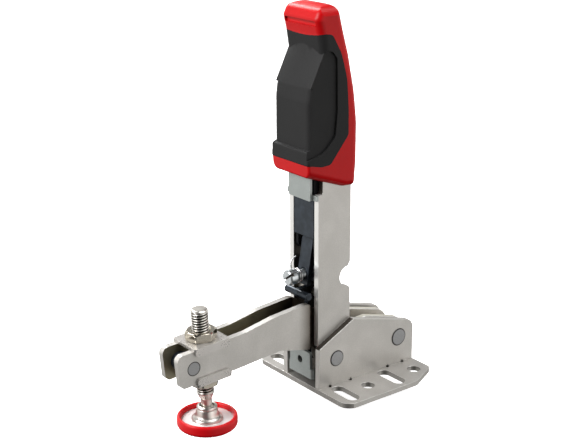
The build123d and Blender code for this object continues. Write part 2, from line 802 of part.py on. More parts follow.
# ---------------------------------------------------------------- spindle group
def spindle_plane(w):
    """Plane square to the spindle, w mm above the arm's centre line."""
    y, z = on_arm(0, w)
    return Plane(origin=(0, y, z), x_dir=(1, 0, 0), z_dir=(0, -sin(droop), cos(droop)))


def spindle_cylinder(radius, w_from, w_to):
    """Round bar on the spindle's axis."""
    return extrude(spindle_plane(w_from) * Circle(radius), amount=w_to - w_from)


def flanged_washer(direction):
    """Square washer on the arm's edge, lips turned down outside the plates; direction +1 is on top."""
    seat = direction * arm_height / 2
    edge = seat - direction * washer_lip
    half = washer_length / 2
    plate_half = arm_outer + side_gap + washer_thickness
    plate = Rectangle(2 * plate_half, washer_length)
    body = extrude(spindle_plane(seat) * fillet(plate.vertices(), washer_corner_radius),
                   amount=direction * washer_thickness)
    corners = [(*on_arm(-half + washer_lip_step, seat), 0),
               (*on_arm(-half + washer_lip_step, edge), washer_corner_radius),
               (*on_arm(half - washer_lip_step, edge), washer_corner_radius),
               (*on_arm(half - washer_lip_step, seat), 0)]
    for side in (-1, 1):
        x = side * (plate_half - washer_thickness / 2)
        body += slab(outline(*corners), x - washer_thickness / 2, x + washer_thickness / 2)
    return body - spindle_cylinder(spindle_radius + 0.2, -arm_height, arm_height)


def hex_nut(flats, height, w_from, direction, turn):
    """Hexagon nut with both faces bevelled, on the spindle's axis."""
    corner = flats / (2 * cos(radians(30)))
    plane = spindle_plane(w_from)
    body = extrude(plane * (Rot(Z=turn) * RegularPolygon(corner, 6)), amount=direction * height)
    bevel = 0.55 * (corner - flats / 2)
    cone = extrude(plane * Circle(corner), amount=direction * height)
    cone = chamfer(cone.edges(), bevel)
    return (body & cone) - spindle_cylinder(spindle_radius + running_gap, -40, 40)


def ball_point():
    """Distance down the spindle to the ball's centre."""
    return (foot_ball_height - spindle_centre_height) / cos(droop)


def spindle():
    """Threaded rod with a tapered neck and a ball at its foot."""
    rod = spindle_cylinder(spindle_radius, spindle_thread_end, spindle_top)
    rod = chamfer(rod.edges().sort_by(Axis.Z)[-1], 0.8)
    taper = extrude(spindle_plane(spindle_thread_end) * Circle(spindle_radius),
                    amount=-0.6)
    lower = loft([spindle_plane(spindle_thread_end - 0.6) * Circle(spindle_radius),
                  spindle_plane(spindle_taper_end) * Circle(neck_radius)])
    neck = spindle_cylinder(neck_radius, ball_point(), spindle_taper_end)
    ball = Pos(*ball_centre()) * Sphere(ball_radius)
    return rod + taper + lower + neck + ball


def ball_centre():
    """Ball's centre in space."""
    y, z = on_arm(0, ball_point())
    return (0, y, z)


def foot_plane():
    """Upright plane through the foot's centre for turned profiles (radius, height)."""
    return Plane(origin=(0, ball_centre()[1], 0), x_dir=(1, 0, 0), z_dir=(0, -1, 0))


def foot_axis():
    """Foot's turning axis."""
    return Axis((0, ball_centre()[1], 0), (0, 0, 1))


def foot_plate():
    """Turned swivel foot: disc, flared skirt and the lip that holds the ball."""
    floor = foot_bottom + foot_cup_floor
    skirt, rim = floor + foot_disc_thickness, foot_rim_top - foot_rim_height
    disc_radius = foot_cup_radius - foot_cup_wall
    profile = foot_plane() * outline(
        (0, floor, 0),
        (disc_radius, floor, 0.3),
        (disc_radius, floor + foot_disc_thickness, 0.3),
        (foot_skirt_radius, skirt, 0),
        (foot_skirt_radius, skirt + foot_skirt_height, 0.6),
        (foot_collar_radius, skirt + foot_collar_foot, 1.0),
        (foot_rim_radius - 0.1, rim, 0),
        (foot_rim_radius + 0.2, rim, 0.2),
        (foot_rim_radius + 0.2, foot_rim_top, foot_rim_rounding),
        (foot_mouth_radius, foot_rim_top, 0.2),
        (foot_mouth_radius, foot_ball_height, 0),
        (0, foot_ball_height, 0),
    )
    body = revolve(profile, axis=foot_axis())
    return body - Pos(*ball_centre()) * Sphere(ball_radius + foot_socket_gap)


def foot_cap():
    """Red cup pressed over the foot's disc."""
    floor = foot_bottom + foot_cup_floor
    top = foot_bottom + foot_cup_height
    inner = foot_cup_radius - foot_cup_wall
    lip = floor + foot_disc_thickness
    profile = foot_plane() * outline(
        (0, foot_bottom, 0),
        (foot_cup_radius - 0.9, foot_bottom, 0.5),
        (foot_cup_radius, foot_bottom + 1.4, 0.8),
        (foot_cup_radius, top, 0.9),
        (inner, top, 0.9),
        (inner - 0.35, lip + 0.5, 0.3),
        (inner, lip, 0),
        (inner, floor, 0),
        (0, floor, 0),
    )
    return revolve(profile, axis=foot_axis())


# ---------------------------------------------------------------- all nodes
def main():
    """Build every node and write it."""
    os.makedirs("parts", exist_ok=True)
    write("base_plate", base_plate())
    write("stop_plate", stop_plate())
    write("arm_pivot_rivet", rivet(arm_pivot, arm_rivet_radius, arm_rivet_head_radius))
    write("link_pivot_rivet", rivet(link_pivot, link_rivet_radius, rivet_head_radius))
    write("arm_end_spacer", arm_end_spacer())
    write("arm_end_rivet", arm_end_rivet())
    write("heel_pin", heel_pin())
    write("link_sleeve", link_sleeve())
    write("handle_pin", handle_pin())
    write("carrier", carrier())
    write("carrier_pin", carrier_pin())
    write("slide_plate", slide_plate())
    write("lock_bar", lock_bar())
    write("lock_bar_pin", lock_bar_pin())
    write("force_screw", force_screw())
    write("force_block", force_block())
    write("lock_spring", lock_spring())
    write("stop_bar", stop_bar())
    write("bridge_clip", bridge_clip())
    for name, side in (("left", 1), ("right", -1)):
        write(name + "_cheek", cheek(side))
        write(name + "_arm_plate", arm_plate(side))
        write(name + "_link_plate", side_plate(link_side_view(), link_inner, side))
        write(name + "_handle_plate", handle_plate(side))
    shell, panel = grip_parts()
    write("grip_shell", shell)
    write("grip_panel", panel)
    write("upper_washer", flanged_washer(1))
    write("lower_washer", flanged_washer(-1))
    seat = arm_height / 2 + washer_thickness
    write("upper_nut", hex_nut(nut_flats, nut_height, seat, 1, 8))
    write("lower_nut", hex_nut(lower_nut_flats, lower_nut_height, -seat, -1, 20))
    write("spindle", spindle())
    write("foot_plate", foot_plate())
    write("foot_cap", foot_cap())


main()
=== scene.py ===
# %% [markdown]
# # A vertical toggle clamp
# The clamp is mostly flat sheet steel, riveted in layers. What makes it look real is not its outline,
# which the frame already has, but its edges and skins: stamped edges are rolled over, rivets are
# pressed flush, the spindle has a rolled thread, and the grip is two kinds of plastic.
# The script loads the frame, dresses its solids with rounded edges, works out the threads, nuts,
# spring and foot as surfaces, and gives every finish its own small shader.

# %% Load the frame
import json

import bmesh
import bpy
import numpy as np
from mathutils import Matrix, Vector


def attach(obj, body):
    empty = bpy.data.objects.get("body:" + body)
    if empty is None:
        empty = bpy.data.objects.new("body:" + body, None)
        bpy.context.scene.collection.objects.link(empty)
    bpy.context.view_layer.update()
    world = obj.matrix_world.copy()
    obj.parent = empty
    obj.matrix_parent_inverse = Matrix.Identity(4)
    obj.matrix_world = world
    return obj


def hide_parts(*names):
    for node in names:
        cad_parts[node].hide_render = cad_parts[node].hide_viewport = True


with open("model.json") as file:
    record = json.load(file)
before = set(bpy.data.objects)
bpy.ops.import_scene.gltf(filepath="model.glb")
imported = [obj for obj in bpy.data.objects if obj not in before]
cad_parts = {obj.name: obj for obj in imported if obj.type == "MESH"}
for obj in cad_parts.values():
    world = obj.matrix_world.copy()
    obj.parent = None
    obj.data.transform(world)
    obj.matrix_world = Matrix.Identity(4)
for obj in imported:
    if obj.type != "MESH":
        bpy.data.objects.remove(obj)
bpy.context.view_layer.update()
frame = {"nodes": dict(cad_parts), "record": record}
nodes = frame["nodes"]
MM = 0.001

# %% [markdown]
# ## Shader maths as plain expressions
# A shader is a network of nodes, and long ones are hard to read as calls. One small class wraps a
# socket, so that `1 - mask * 0.4` adds its Math nodes by itself. Colours are never sent through
# Math nodes, which would turn them grey: they go through Mix nodes.


# %% The expression class
class Link:
    """One output socket of a material, on which + - * / build Math nodes."""

    def __init__(self, maker, socket):
        self.maker = maker
        self.socket = socket

    def __add__(self, other):
        return self.maker.math("ADD", self, other)

    def __sub__(self, other):
        return self.maker.math("SUBTRACT", self, other)

    def __rsub__(self, other):
        return self.maker.math("SUBTRACT", other, self)

    def __mul__(self, other):
        return self.maker.math("MULTIPLY", self, other)

    def __truediv__(self, other):
        return self.maker.math("DIVIDE", self, other)

    def __pow__(self, other):
        return self.maker.math("POWER", self, other)

    __radd__ = __add__
    __rmul__ = __mul__


# %% The network class
class Network:
    """A node tree under construction, with helpers that add nodes and join them."""

    def __init__(self, tree, coordinates):
        self.tree = tree
        self.place = self.node("ShaderNodeTexCoord", out=coordinates)

    def node(self, kind, out=0, settings=None, **values):
        """Add a node: settings are set first, then each value or link goes to its socket. A socket
        is named in words, or by its number as i0, i1 where two sockets have the same name."""
        made = self.tree.nodes.new(kind)
        for key, value in (settings or {}).items():
            if key == "stops":
                self.set_ramp(made.color_ramp, value)
            else:
                setattr(made, key, value)
        for key, value in values.items():
            self.feed(made.inputs[int(key[1:]) if key[0] == "i" and key[1:].isdigit()
                                  else key.replace("_", " ")], value)
        return Link(self, made.outputs[out])

    @staticmethod
    def set_ramp(ramp, stops):
        """Colour ramp stops as (place, grey or colour) pairs."""
        while len(ramp.elements) < len(stops):
            ramp.elements.new(1.0)
        for element, (where, tone) in zip(ramp.elements, stops):
            element.position = where
            element.color = (tone, tone, tone, 1) if isinstance(tone, (int, float)) else (*tone, 1)

    def feed(self, socket, value):
        """Link a Link, or set a plain value."""
        if isinstance(value, Link):
            self.tree.links.new(value.socket, socket)
        elif isinstance(value, tuple) and len(value) == 3 and socket.type == "RGBA":
            socket.default_value = (*value, 1)
        else:
            socket.default_value = value

    def math(self, operation, a, b=0.0):
        return self.node("ShaderNodeMath", settings={"operation": operation}, i0=a, i1=b)

    def clamp(self, value):
        return self.node("ShaderNodeClamp", Value=value)

    def grain(self, size_mm, detail=2.0, stretch=(1, 1, 1), roughness=0.5):
        """Noise whose blobs are about size_mm across, stretched along an axis by its factor."""
        scale = tuple(1.0 / s for s in stretch)
        where = self.node("ShaderNodeMapping", Vector=self.place, Scale=scale)
        return self.node("ShaderNodeTexNoise", Vector=where, Scale=1.0 / (size_mm * MM),
                         Detail=detail, Roughness=roughness)

    def ramp(self, value, *stops):
        return self.node("ShaderNodeValToRGB", settings={"stops": stops}, Fac=value)

    def mix(self, factor, a, b):
        """Colour a where factor is 0 and b where it is 1."""
        made = self.tree.nodes.new("ShaderNodeMix")
        made.data_type = "RGBA"
        for index, value in ((0, factor), (6, a), (7, b)):
            self.feed(made.inputs[index], value)
        return Link(self, made.outputs[2])

    def bump(self, height, depth_mm, strength=1.0):
        """Normal bent by a height of 0 to 1, depth_mm deep."""
        return self.node("ShaderNodeBump", Height=height, Distance=depth_mm * MM, Strength=strength)

    def split(self, vector):
        """The three numbers of a vector, each as a Link."""
        first = self.node("ShaderNodeSeparateXYZ", Vector=vector)
        return [Link(self, output) for output in first.socket.node.outputs]


# %% The material class
class Finish(Network):
    """A material: a network over the object's own coordinates, and its Principled shader."""

    def __init__(self, name):
        self.material = bpy.data.materials.new(name)
        self.material.use_nodes = True
        super().__init__(self.material.node_tree, "Object")
        self.shader = self.tree.nodes["Principled BSDF"]

    def set(self, **inputs):
        """Feed the Principled shader's own sockets."""
        for key, value in inputs.items():
            self.feed(self.shader.inputs[key.replace("_", " ")], value)
        return self.material


print("operators of a link:", [name for name in vars(Link) if name.startswith("__r")])

# %% [markdown]
# ## Plated sheet steel
# The plates are blanked from cold-rolled sheet and plated a warm silver grey. Seen close the plating
# is a satin skin: a fine, even grain from the rolled sheet, faint cloudy patches where it is a touch
# thicker, and rare hair-thin handling marks. One noise could give a mottled skin, but grain and
# clouds differ in size, so there are two, and the marks are a third, stretched very long and cut off
# near its top. The arm has a brown film along Y as well: partly oil creeping out of its pivot, partly
# painted shade where the arm goes into the handle.


# %% Plated steel
def plated_steel(name, tone, dark_tone, roughness, grain_mm=0.6, metal=0.70, marks=0.5, oil=None):
    """Satin plating: clouds in colour, grain in roughness and height, a few handling marks, and
    where oil is (start, length) in mm along Y, a brown film of oil and painted shade that swells and
    fades over that length."""
    skin = Finish(name)
    clouds = skin.grain(9.0, detail=3.0)
    fine = skin.grain(grain_mm, detail=2.0, roughness=0.6)
    lines = skin.grain(0.5, detail=1.0, stretch=(1, 26, 9))
    mark = skin.clamp((lines - 0.70) * 9.0) * marks
    blend = skin.clamp((clouds - 0.34) * 1.5 + (fine - 0.5) * 1.5)
    colour = skin.mix(blend, dark_tone, tone)
    if oil:
        start, length = oil
        along = (skin.split(skin.place)[1] / MM - start) / length
        # Partly oil, partly painted shade where the arm goes into the handle.
        darkening = skin.ramp(along, (0.0, 0.0), (0.4, 0.85), (0.6, 0.85), (1.0, 0.1))
        colour = skin.mix(darkening, colour, (0.10, 0.07, 0.045))
    rough = (clouds - 0.5) * 0.10 + (fine - 0.5) * 0.16 + mark * 0.10 + roughness
    height = fine * 0.7 + mark * 0.3
    return skin.set(Base_Color=colour, Metallic=metal, Roughness=rough,
                    Normal=skin.bump(height, 0.010))


# %% Plated finishes
SHEET_TONES = (0.68, 0.66, 0.63), (0.56, 0.543, 0.515)
sheet_steel = plated_steel("plated_sheet", *SHEET_TONES, 0.42)
# The arm's brown film along Y is partly oil and partly painted shade.
arm_steel = plated_steel("plated_arm_sheet", *SHEET_TONES, 0.42, oil=(-37.0, 18.0))
inner_steel = plated_steel("plated_sheet_inner", (0.66, 0.63, 0.57), (0.52, 0.49, 0.44), 0.40)
washer_steel = plated_steel("washer_steel", (0.70, 0.675, 0.645), (0.58, 0.555, 0.53), 0.30)
blue_zinc = plated_steel("blue_zinc", (0.46, 0.50, 0.485), (0.36, 0.39, 0.38), 0.36, marks=0.2)
rivet_steel = plated_steel("rivet_head", (0.46, 0.46, 0.46), (0.36, 0.36, 0.36), 0.36)
pale_nickel = plated_steel("pale_disc", (0.90, 0.87, 0.86), (0.80, 0.77, 0.76), 0.42,
                           metal=0.35, marks=0.2)
print("plated finishes:", sheet_steel.name, arm_steel.name, inner_steel.name, blue_zinc.name)

# %% [markdown]
# ## Edges and inner faces
# Rolled edges are painted near white as a painted highlight, a sheared one stays darker, and a cut
# edge that sits against another plate is painted near black as painted shade. These are the same skin
# in other tones. Inside the arm's channel a painted shade deepens towards the pivot, which a colour
# ramp along Y shows.


# %% Edge finishes
# Painted highlight: near-white rolled edges and pale link-plate edges stand for light on the edges.
painted_highlight_edge = plated_steel("rolled_edge_painted_highlight", (0.92, 0.91, 0.89), (0.84, 0.83, 0.80), 0.34,
                           metal=0.80, marks=0.1)
painted_highlight_link_edge = plated_steel("link_edge_painted_highlight", (0.90, 0.88, 0.78), (0.80, 0.77, 0.66), 0.34,
                         metal=0.6, marks=0.2)
sheared_edge = plated_steel("sheared_edge", (0.48, 0.46, 0.43), (0.32, 0.305, 0.285), 0.38,
                            grain_mm=1.1)
# Painted shade: near-black finishes for cut edges in shade under other plates, the screw's slot and the
# handle plates' inner faces.
painted_shade_edge = plated_steel("cut_edge_painted_shade", (0.12, 0.10, 0.085), (0.07, 0.06, 0.05), 0.40)
painted_shade_inner_face = plated_steel("inner_face_painted_shade", (0.10, 0.09, 0.07), (0.05, 0.043, 0.034), 0.36)


def channel_shade(name):
    """Plated inner face under painted shade that deepens towards the arm's pivot, along Y."""
    skin = Finish(name)
    clouds = skin.grain(7.0, detail=3.0)
    # Painted shade: darker towards the pivot, where the channel goes into the handle.
    shade_towards_pivot = skin.clamp((skin.split(skin.place)[1] + 0.060) * 32.0 + (clouds - 0.5) * 0.5)
    darkening = skin.ramp(shade_towards_pivot, (0.0, (0.34, 0.31, 0.22)), (0.55, (0.12, 0.10, 0.068)),
                     (1.0, (0.018, 0.014, 0.010)))
    return skin.set(Base_Color=darkening, Metallic=0.6, Roughness=(clouds - 0.5) * 0.2 + 0.34)


painted_shade_channel = channel_shade("arm_inner_channel_painted_shade")
print("edge finishes:", painted_highlight_edge.name, painted_highlight_link_edge.name, sheared_edge.name, painted_shade_channel.name)

# %% [markdown]
# ## Bright nickel and blackened steel
# The spindle, nuts and foot are nickel plated and nearly mirror bright, so their look is mostly what
# they reflect: only a light haze and fine turning marks break it. In a thread the grooves are darkened,
# partly as oil and partly as painted shade. That could be painted by height, but the thread winds, so
# the mesh itself carries its depth in an attribute, which the shader reads. The inner parts are
# blackened steel, dark with a soft sheen.


# %% Bright nickel
def bright_nickel(name, tone, roughness, depth=None):
    """Bright plating: haze in roughness, fine turned grooves in height, and oil with painted shade deep
    in a thread.
    """
    skin = Finish(name)
    haze = skin.grain(2.5, detail=3.0)
    turned = skin.grain(0.25, detail=1.0, stretch=(14, 14, 1))
    colour = skin.mix(haze, tuple(0.82 * t for t in tone), tone)
    if depth:
        deep = skin.node("ShaderNodeAttribute", out=2, settings={"attribute_name": depth})
        # Oil and painted shade: the thread's roots darken with their depth.
        colour = skin.mix(skin.clamp((deep - 0.30) * 2.6), colour, (0.05, 0.042, 0.032))
    return skin.set(Base_Color=colour, Metallic=1.0,
                    Roughness=(haze - 0.5) * 0.08 + roughness,
                    Normal=skin.bump(turned, 0.0008))


def black_oxide(name, tone, roughness):
    """Blackened steel: dark, lightly mottled, with a grey bloom where the oil is thin."""
    skin = Finish(name)
    bloom = skin.grain(4.0, detail=3.0)
    fine = skin.grain(0.3, detail=2.0)
    colour = skin.mix(skin.clamp((bloom - 0.40) * 2.5), tone, tuple(1.9 * t for t in tone))
    return skin.set(Base_Color=colour, Metallic=0.6,
                    Roughness=(bloom - 0.5) * 0.2 + (fine - 0.5) * 0.1 + roughness,
                    Normal=skin.bump(fine, 0.008))


# %% Bright and black finishes
nickel = bright_nickel("foot_nickel", (0.70, 0.66, 0.62), 0.32)
rolled_nickel = bright_nickel("rolled_nickel", (0.80, 0.77, 0.72), 0.30, "thread_depth")
nut_nickel = bright_nickel("nut_nickel", (0.62, 0.575, 0.49), 0.16)
spring_steel = bright_nickel("spring_steel", (0.62, 0.62, 0.62), 0.24)
blackened = black_oxide("oiled_black_oxide", (0.026, 0.033, 0.042), 0.38)
# Painted shadow: a near-black oxide for faces that sit in shade between the plates.
painted_shadow_black = black_oxide("black_oxide_painted_shadow", (0.006, 0.006, 0.007), 0.55)
polished_black = black_oxide("polished_black_oxide", (0.020, 0.025, 0.032), 0.20)
print("metal finishes:", nickel.name, rolled_nickel.name, spring_steel.name, blackened.name)

# %% [markdown]
# ## The force screw's finish
# The screw's shank has a thread of 0.8 mm pitch, too fine for a mesh at this size, so it is a sine
# wave of the surface's height, which starts behind the plain head.


# %% Fine thread
def threaded_nickel(name, tone, roughness, pitch_mm, start_mm):
    """Nickel whose height is a fine wave along Y behind the start: a small thread from a step away."""
    skin = Finish(name)
    along = skin.split(skin.place)[1]
    shank = skin.clamp((along - start_mm * MM) * 4000.0)
    wave = (skin.math("SINE", along * (2 * np.pi / (pitch_mm * MM))) * 0.5 + 0.5) * shank
    haze = skin.grain(1.2, detail=2.0)
    colour = skin.mix(haze, tuple(0.75 * t for t in tone), tone)
    return skin.set(Base_Color=colour, Metallic=1.0, Roughness=(haze - 0.5) * 0.1 + roughness,
                    Normal=skin.bump(wave, 0.12))


SCREW_FRONT = min(corner[1] for corner in nodes["force_screw"].bound_box) / MM
screw_nickel = threaded_nickel("screw_nickel", (0.70, 0.74, 0.76), 0.30, 0.8, SCREW_FRONT + 3.2)
print("force screw's front at", round(SCREW_FRONT, 2), "mm")

# %% [markdown]
# ## Moulded plastics
# The grip is red moulded plastic with a soft, dark panel moulded over it, and the foot wears a red
# soft cup. The mould is spark-eroded, which leaves a pebbled texture: fine on the shell and coarse
# on the panel. Gloss is the same all over a piece, so it is set on the shader's own sockets.


# %% Moulded plastics
def moulded(name, tone, deep_tone, roughness, texture_mm, depth_mm, coat=0.0, gloss=0.3):
    """Moulded plastic: a spark-eroded texture, faint flow clouds and a little gloss."""
    skin = Finish(name)
    flow = skin.grain(14.0, detail=2.0)
    pebble = skin.grain(texture_mm, detail=1.5, roughness=0.55)
    colour = skin.mix(skin.clamp((flow - 0.35) * 1.6), deep_tone, tone)
    skin.set(Base_Color=colour, Roughness=(flow - 0.5) * 0.06 + (pebble - 0.5) * 0.10 + roughness,
             Normal=skin.bump(pebble, depth_mm))
    skin.shader.inputs["Specular IOR Level"].default_value = gloss
    skin.shader.inputs["Coat Weight"].default_value = coat
    skin.shader.inputs["Coat Roughness"].default_value = 0.2
    return skin.material


red_shell = moulded("red_shell_plastic", (0.60, 0.003, 0.005), (0.52, 0.002, 0.004),
                    0.33, 0.28, 0.006, gloss=0.20)
dark_panel = moulded("dark_soft_plastic", (0.024, 0.024, 0.0245), (0.019, 0.019, 0.0195),
                     0.58, 0.5, 0.05, gloss=0.16)
red_cup = moulded("red_soft_cup", (0.76, 0.008, 0.012), (0.66, 0.006, 0.010),
                  0.34, 0.5, 0.006, coat=0.06, gloss=0.2)
print("moulded finishes:", red_shell.name, dark_panel.name, red_cup.name)

# %% [markdown]
# ## Surfaces worked out from arrays
# Threads, nuts, rivet heads, the spring and the foot are all given by a formula, so they are made
# straight from arrays of points: rows run along the piece and columns run round it. One helper
# joins neighbouring points into faces, and another turns a profile about an axis.


# %% Surfaces from arrays
def grid_mesh(name, points, close_u=False, close_v=False, caps=False):
    """Mesh from points (rows, columns, 3): each point joins its neighbours along u (rows) and v
    (columns), and caps close the first and last row with a fan to its middle."""
    rows, columns, _ = points.shape
    index = np.arange(rows * columns).reshape(rows, columns)
    if close_v:
        index = np.concatenate([index, index[:, :1]], axis=1)
    if close_u:
        index = np.concatenate([index, index[:1]], axis=0)
    corners = index[:-1, :-1], index[:-1, 1:], index[1:, 1:], index[1:, :-1]
    vertices = points.reshape(-1, 3)
    faces = np.stack(corners, axis=-1).reshape(-1, 4).tolist()
    if caps:
        first, last = np.arange(columns), np.arange((rows - 1) * columns, rows * columns)
        vertices = np.concatenate([vertices, points[0].mean(0)[None], points[-1].mean(0)[None]])
        ends = [(rows * columns, np.roll(first, -1), first),
                (rows * columns + 1, last, np.roll(last, -1))]
        faces += [[middle, int(a), int(b)] for middle, one, two in ends for a, b in zip(one, two)]
    mesh = bpy.data.meshes.new(name)
    mesh.from_pydata(vertices.tolist(), [], faces)
    mesh.shade_smooth()
    obj = bpy.data.objects.new(name, mesh)
    bpy.context.scene.collection.objects.link(obj)
    return obj


def turned(profile, columns=96, ripple=None):
    """Points of a turned piece: each (radius, height) row goes round the axis by radius * cos, sin of
    the angle. A ripple, a function of height and angle, is taken off the radius."""
    radius, height = np.array(profile, dtype=float).T
    angle = np.linspace(0, 2 * np.pi, columns, endpoint=False)
    across = radius[:, None] - (ripple(height[:, None], angle[None, :]) if ripple else 0.0)
    tall = np.repeat(height[:, None], columns, axis=1)
    return np.stack([across * np.cos(angle), across * np.sin(angle), tall], axis=2)


def rounded(profile, radius=0.15, steps=4):
    """Profile whose corners become short arcs: a quadratic curve between a point on each side."""
    points = np.array(profile, dtype=float)
    before = points[:-2] - points[1:-1]
    after = points[2:] - points[1:-1]
    reach_a = np.minimum(radius, 0.45 * np.linalg.norm(before, axis=1))[:, None]
    reach_b = np.minimum(radius, 0.45 * np.linalg.norm(after, axis=1))[:, None]
    start = points[1:-1] + before / np.linalg.norm(before, axis=1)[:, None] * reach_a
    end = points[1:-1] + after / np.linalg.norm(after, axis=1)[:, None] * reach_b
    t = np.linspace(0, 1, steps)[None, :, None]
    arcs = (1 - t) ** 2 * start[:, None] + 2 * t * (1 - t) * points[1:-1, None] + t ** 2 * end[:, None]
    return np.concatenate([points[:1], arcs.reshape(-1, 2), points[-1:]])


print("a square corner, rounded:", rounded([(0, 0), (1, 0), (1, 1)], 0.3, 3).round(3).tolist())

# %% [markdown]
# ## Rounded edges on the frame's solids
# A blanked plate has no sharp edge: the die rolls one side over, and tumbling rounds the other. A
# bevel modifier does this, but it needs true flat faces, and the frame's meshes are loose triangles.
# So each solid is copied, its doubled points are merged, flat neighbours are dissolved into one face,
# and only then is every sharp edge bevelled.


# %% Dress a solid
def merged_copy(node, name):
    """Copy of a frame node's mesh with doubles merged and coplanar triangles dissolved."""
    mesh = nodes[node].data.copy()
    mesh.name = name
    work = bmesh.new()
    work.from_mesh(mesh)
    bmesh.ops.remove_doubles(work, verts=work.verts, dist=0.002 * MM)
    bmesh.ops.dissolve_limit(work, angle_limit=np.radians(0.6), verts=work.verts, edges=work.edges)
    work.to_mesh(mesh)
    work.free()
    mesh.materials.clear()
    for face in mesh.polygons:
        face.use_smooth = True
    obj = bpy.data.objects.new(name, mesh)
    bpy.context.scene.collection.objects.link(obj)
    return obj


def round_edges(obj, width_mm, segments=3, sharp_angle=32.0):
    """Bevel every edge sharper than the angle, then let the large flats decide the shading."""
    bevel = obj.modifiers.new("rolled_edge", "BEVEL")
    bevel.width = width_mm * MM
    bevel.segments = segments
    bevel.limit_method = "ANGLE"
    bevel.angle_limit = np.radians(sharp_angle)
    bevel.use_clamp_overlap = True
    obj.data.set_sharp_from_angle(angle=np.radians(sharp_angle))
    flat = obj.modifiers.new("flat_faces", "WEIGHTED_NORMAL")
    flat.keep_sharp = True
    flat.weight = 80


def body_of(node):
    """Body that a frame node belongs to."""
    for body, members in frame["record"]["behaviour"]["bodies"].items():
        if node in members:
            return body
    raise KeyError(node)


def slot_of(node):
    """Record's material slot of a frame node."""
    return next(p["material_slot"] for p in frame["record"]["subparts"] if p["node"] == node)


def seat(obj, node, material):
    """Give a piece its material, and let it stand for a frame node on that node's body."""
    if not obj.data.materials:
        obj.data.materials.append(material)
    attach(obj, body_of(node))
    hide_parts(node)
    slot_of(node)
    return obj


def dress(node, material, width_mm, segments=3, sharp_angle=32.0, edge=None):
    """A frame solid with rolled edges and a finish, and a second finish on the rolled edges."""
    obj = merged_copy(node, node + "_skin")
    round_edges(obj, width_mm, segments, sharp_angle)
    seat(obj, node, material)
    if edge:
        obj.data.materials.append(edge)
        obj.modifiers["rolled_edge"].material = 1
    return obj


# %% Finish and edge of each piece
SIDES = (("left", -1), ("right", 1))
PAIRS = {
    "cheek": (sheet_steel, 0.42), "arm_plate": (arm_steel, 0.5),
    "link_plate": (inner_steel, 0.4), "handle_plate": (sheet_steel, 0.42),
}
PLATES = {"base_plate": (sheet_steel, 0.45)}
PLATES.update({f"{side}_{kind}": skin for kind, skin in PAIRS.items() for side, _ in SIDES})
PLATES.update({
    "stop_plate": (blue_zinc, 0.25), "bridge_clip": (blue_zinc, 0.22),
    "slide_plate": (blackened, 0.3), "lock_bar": (blackened, 0.35), "carrier": (blackened, 0.2),
    "force_block": (blackened, 0.25), "stop_bar": (polished_black, 0.2),
    "upper_washer": (washer_steel, 0.3), "lower_washer": (washer_steel, 0.3),
    "grip_shell": (red_shell, 0.25), "grip_panel": (dark_panel, 0.15),
})
STEELS = (sheet_steel, arm_steel, inner_steel, washer_steel, blue_zinc)
# The steel plates' rolled edges get the painted highlight.
for node, (material, width) in PLATES.items():
    dress(node, material, width, edge=painted_highlight_edge if material in STEELS else None)
PINS = {
    "arm_end_spacer": blackened, "link_sleeve": inner_steel, "heel_pin": inner_steel,
    "handle_pin": rivet_steel, "carrier_pin": inner_steel, "lock_bar_pin": blackened,
}
for node, material in PINS.items():
    dress(node, material, 0.12, segments=2)
print("dressed:", len(PLATES), "plates and", len(PINS), "pins")

# %% [markdown]
# ## The carrier's nose
# The black cross bar is held by a thin nose of the carrier, which hides behind it from the front.
# The frame's nose is a little thicker, so its points are drawn in to a circle about the bar. Moving
# points keeps the piece closed, where cutting it would not.


# %% Carrier's nose
def slim_nose(node, centre, radius):
    """Draw the points in front of a centre, given by Y and Z, in to a circle of the given radius."""
    mesh = bpy.data.objects[node + "_skin"].data
    place = np.empty(len(mesh.vertices) * 3)
    mesh.vertices.foreach_get("co", place)
    place = place.reshape(-1, 3)
    offset = place[:, 1:] - np.array(centre) * MM
    distance = np.linalg.norm(offset, axis=1)
    ahead = offset[:, 0] < 1.2 * MM
    near = (distance > radius * MM) & (distance < 1.7 * radius * MM) & ahead
    place[near, 1:] = np.array(centre) * MM + offset[near] / distance[near, None] * radius * MM
    mesh.vertices.foreach_set("co", place.ravel())
    mesh.update()
    print(node, "nose points drawn in:", int(near.sum()))


slim_nose("carrier", (-31.45, 48.3), 2.0)

# %% [markdown]
# ## Faces with painted highlight and painted shade
# A plate's faces differ: the lower front edges are painted bright as a painted highlight, while the
# slanted edges under another plate, the upper front edges and the inner faces are painted dark as
# painted shade. Each face of a dressed solid knows its direction and its place, so a test on whole
# arrays of both picks the faces that get another finish.


# %% Dark and bright faces
def repaint_faces(name, material, chosen):
    """Another finish on the faces of a piece whose normal and centre pass the test."""
    mesh = bpy.data.objects[name].data
    mesh.materials.append(material)
    count = len(mesh.polygons)
    normal, centre = np.empty(count * 3), np.empty(count * 3)
    mesh.polygons.foreach_get("normal", normal)
    mesh.polygons.foreach_get("center", centre)
    mask = chosen(normal.reshape(-1, 3), centre.reshape(-1, 3) / MM)
    slots = np.empty(count, dtype=np.int32)
    mesh.polygons.foreach_get("material_index", slots)
    slots[mask] = len(mesh.materials) - 1
    mesh.polygons.foreach_set("material_index", slots)
    print(name, material.name, "faces:", int(mask.sum()))


